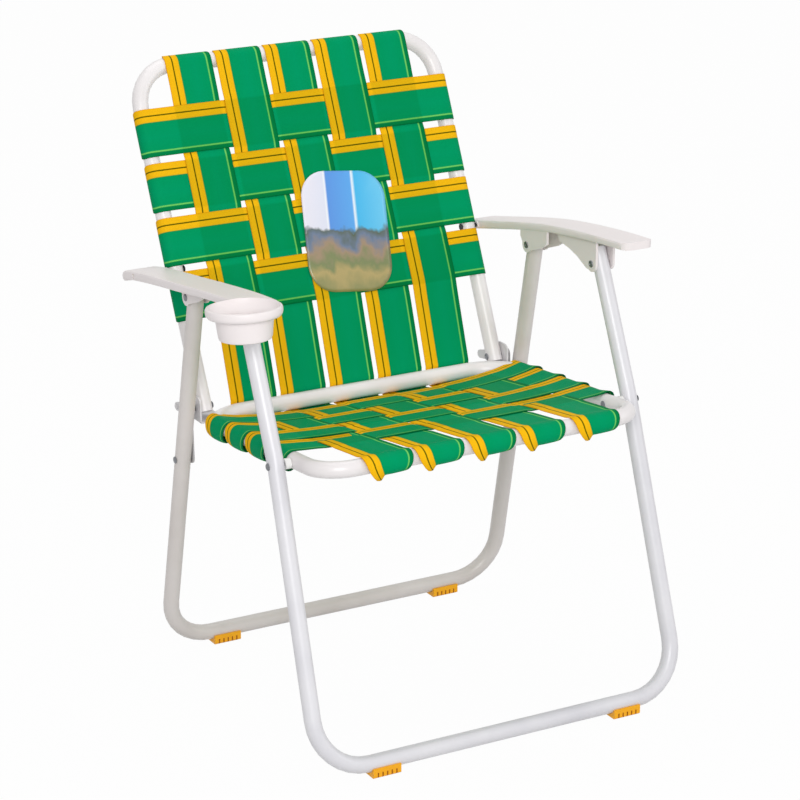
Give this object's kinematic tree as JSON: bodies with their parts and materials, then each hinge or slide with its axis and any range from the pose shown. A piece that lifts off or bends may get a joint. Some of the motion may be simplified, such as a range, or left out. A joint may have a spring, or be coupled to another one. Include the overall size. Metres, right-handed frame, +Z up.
{
  "type": "folding webbed lawn chair",
  "caption": "Low folding lawn chair: bent tube legs, back and seat frames, woven webbing, moulded armrests and a cup holder, all folding flat together.",
  "frame": {"origin": "middle of the open chair's box, on the floor under its foot glides", "axes": "+Z up, -Y towards the front of the seat, +X towards the armrest with no cup holder"},
  "size_m": [0.6294, 0.6416, 0.8089],
  "materials": {
    "seat_frame": "white gloss powder coat",
    "seat_long_strap_1": "woven plastic webbing, green with a yellow band along one edge",
    "seat_long_strap_2": "woven plastic webbing, green with a yellow band along one edge",
    "seat_long_strap_3": "woven plastic webbing, green with a yellow band along one edge",
    "seat_long_strap_4": "woven plastic webbing, green with a yellow band along one edge",
    "seat_long_strap_5": "woven plastic webbing, green with a yellow band along one edge",
    "seat_cross_strap_1": "woven plastic webbing, green with a yellow band along one edge",
    "seat_cross_strap_2": "woven plastic webbing, green with a yellow band along one edge",
    "seat_cross_strap_3": "woven plastic webbing, green with a yellow band along one edge",
    "seat_cross_strap_4": "woven plastic webbing, green with a yellow band along one edge",
    "hinge_plate_left": "pressed steel, coated",
    "hinge_plate_right": "pressed steel, coated",
    "seat_bush_left": "white moulded spacer",
    "seat_bush_right": "white moulded spacer",
    "back_frame": "white gloss powder coat",
    "back_long_strap_1": "woven plastic webbing, green with a yellow band along one edge",
    "back_long_strap_2": "woven plastic webbing, green with a yellow band along one edge",
    "back_long_strap_3": "woven plastic webbing, green with a yellow band along one edge",
    "back_long_strap_4": "woven plastic webbing, green with a yellow band along one edge",
    "back_long_strap_5": "woven plastic webbing, green with a yellow band along one edge",
    "back_cross_strap_1": "woven plastic webbing, green with a yellow band along one edge",
    "back_cross_strap_2": "woven plastic webbing, green with a yellow band along one edge",
    "back_cross_strap_3": "woven plastic webbing, green with a yellow band along one edge",
    "back_cross_strap_4": "woven plastic webbing, green with a yellow band along one edge",
    "hang_card": "thin printed card, plain bands of colour",
    "hinge_rivet_left": "plated steel",
    "hinge_rivet_right": "plated steel",
    "arm_back_rivet_left": "plated steel",
    "arm_back_rivet_right": "plated steel",
    "front_leg_frame": "white gloss powder coat",
    "foot_glide_front_left": "yellow moulded plastic",
    "foot_glide_front_right": "yellow moulded plastic",
    "seat_leg_rivet_left": "plated steel",
    "seat_leg_rivet_right": "plated steel",
    "arm_front_rivet_left": "plated steel",
    "arm_front_rivet_right": "plated steel",
    "rear_leg_frame": "white gloss powder coat",
    "foot_glide_rear_left": "yellow moulded plastic",
    "foot_glide_rear_right": "yellow moulded plastic",
    "arm_rear_rivet_left": "plated steel",
    "arm_rear_rivet_right": "plated steel",
    "link_rivet_left": "plated steel",
    "link_rivet_right": "plated steel",
    "armrest_left_cup_holder": "white moulded plastic with a fine grain",
    "armrest_right": "white moulded plastic with a fine grain",
    "rear_link_left": "pressed steel, coated",
    "rear_link_right": "pressed steel, coated"
  },
  "bodies": {
    "seat": {"seat_frame": "seat_frame", "seat_long_strap_1": "seat_long_strap_1", "seat_long_strap_2": "seat_long_strap_2", "seat_long_strap_3": "seat_long_strap_3", "seat_long_strap_4": "seat_long_strap_4", "seat_long_strap_5": "seat_long_strap_5", "seat_cross_strap_1": "seat_cross_strap_1", "seat_cross_strap_2": "seat_cross_strap_2", "seat_cross_strap_3": "seat_cross_strap_3", "seat_cross_strap_4": "seat_cross_strap_4", "hinge_plate_left": "hinge_plate_left", "hinge_plate_right": "hinge_plate_right", "seat_bush_left": "seat_bush_left", "seat_bush_right": "seat_bush_right"},
    "back": {"back_frame": "back_frame", "back_long_strap_1": "back_long_strap_1", "back_long_strap_2": "back_long_strap_2", "back_long_strap_3": "back_long_strap_3", "back_long_strap_4": "back_long_strap_4", "back_long_strap_5": "back_long_strap_5", "back_cross_strap_1": "back_cross_strap_1", "back_cross_strap_2": "back_cross_strap_2", "back_cross_strap_3": "back_cross_strap_3", "back_cross_strap_4": "back_cross_strap_4", "hang_card": "hang_card", "hinge_rivet_left": "hinge_rivet_left", "hinge_rivet_right": "hinge_rivet_right", "arm_back_rivet_left": "arm_back_rivet_left", "arm_back_rivet_right": "arm_back_rivet_right"},
    "front_legs": {"front_leg_frame": "front_leg_frame", "foot_glide_front_left": "foot_glide_front_left", "foot_glide_front_right": "foot_glide_front_right", "seat_leg_rivet_left": "seat_leg_rivet_left", "seat_leg_rivet_right": "seat_leg_rivet_right", "arm_front_rivet_left": "arm_front_rivet_left", "arm_front_rivet_right": "arm_front_rivet_right"},
    "rear_legs": {"rear_leg_frame": "rear_leg_frame", "foot_glide_rear_left": "foot_glide_rear_left", "foot_glide_rear_right": "foot_glide_rear_right", "arm_rear_rivet_left": "arm_rear_rivet_left", "arm_rear_rivet_right": "arm_rear_rivet_right", "link_rivet_left": "link_rivet_left", "link_rivet_right": "link_rivet_right"},
    "arm_left": {"armrest_left_cup_holder": "armrest_left_cup_holder"},
    "arm_right": {"armrest_right": "armrest_right"},
    "link_left": {"rear_link_left": "rear_link_left"},
    "link_right": {"rear_link_right": "rear_link_right"}
  },
  "joints": [
    {"name": "back_fold", "type": "hinge", "parent": "seat", "child": "back", "pos_m": [0, 0.1102, 0.3735], "axis": [1, 0, 0], "range_deg": [0, 93]},
    {"name": "front_leg_fold", "type": "hinge", "parent": "seat", "child": "front_legs", "pos_m": [0, -0.1813, 0.38917], "axis": [1, 0, 0], "range_deg": [0, 93]},
    {"name": "arm_left_fold", "type": "hinge", "parent": "back", "child": "arm_left", "pos_m": [0, 0.1872, 0.5442], "axis": [1, 0, 0], "range_deg": [-93, 0]},
    {"name": "arm_right_fold", "type": "hinge", "parent": "back", "child": "arm_right", "pos_m": [0, 0.1872, 0.5442], "axis": [1, 0, 0], "range_deg": [-93, 0]},
    {"name": "rear_leg_fold", "type": "hinge", "parent": "arm_right", "child": "rear_legs", "pos_m": [0, 0.0551, 0.5472], "axis": [1, 0, 0], "range_deg": [0, 62.5]},
    {"name": "link_left_fold", "type": "hinge", "parent": "rear_legs", "child": "link_left", "pos_m": [0, 0.10697, 0.3053], "axis": [1, 0, 0], "range_deg": [-154.3, 0]},
    {"name": "link_right_fold", "type": "hinge", "parent": "rear_legs", "child": "link_right", "pos_m": [0, 0.10697, 0.3053], "axis": [1, 0, 0], "range_deg": [-154.3, 0]}
  ],
  "couplings": [
    {"joint": "front_leg_fold", "follows": "back_fold", "ratio": 1},
    {"joint": "arm_left_fold", "follows": "back_fold", "ratio": -1},
    {"joint": "arm_right_fold", "follows": "back_fold", "ratio": -1},
    {"joint": "rear_leg_fold", "follows": "back_fold", "ratio": 0.6719},
    {"joint": "link_left_fold", "follows": "back_fold", "ratio": -1.6583},
    {"joint": "link_right_fold", "follows": "back_fold", "ratio": -1.6583}
  ]
}
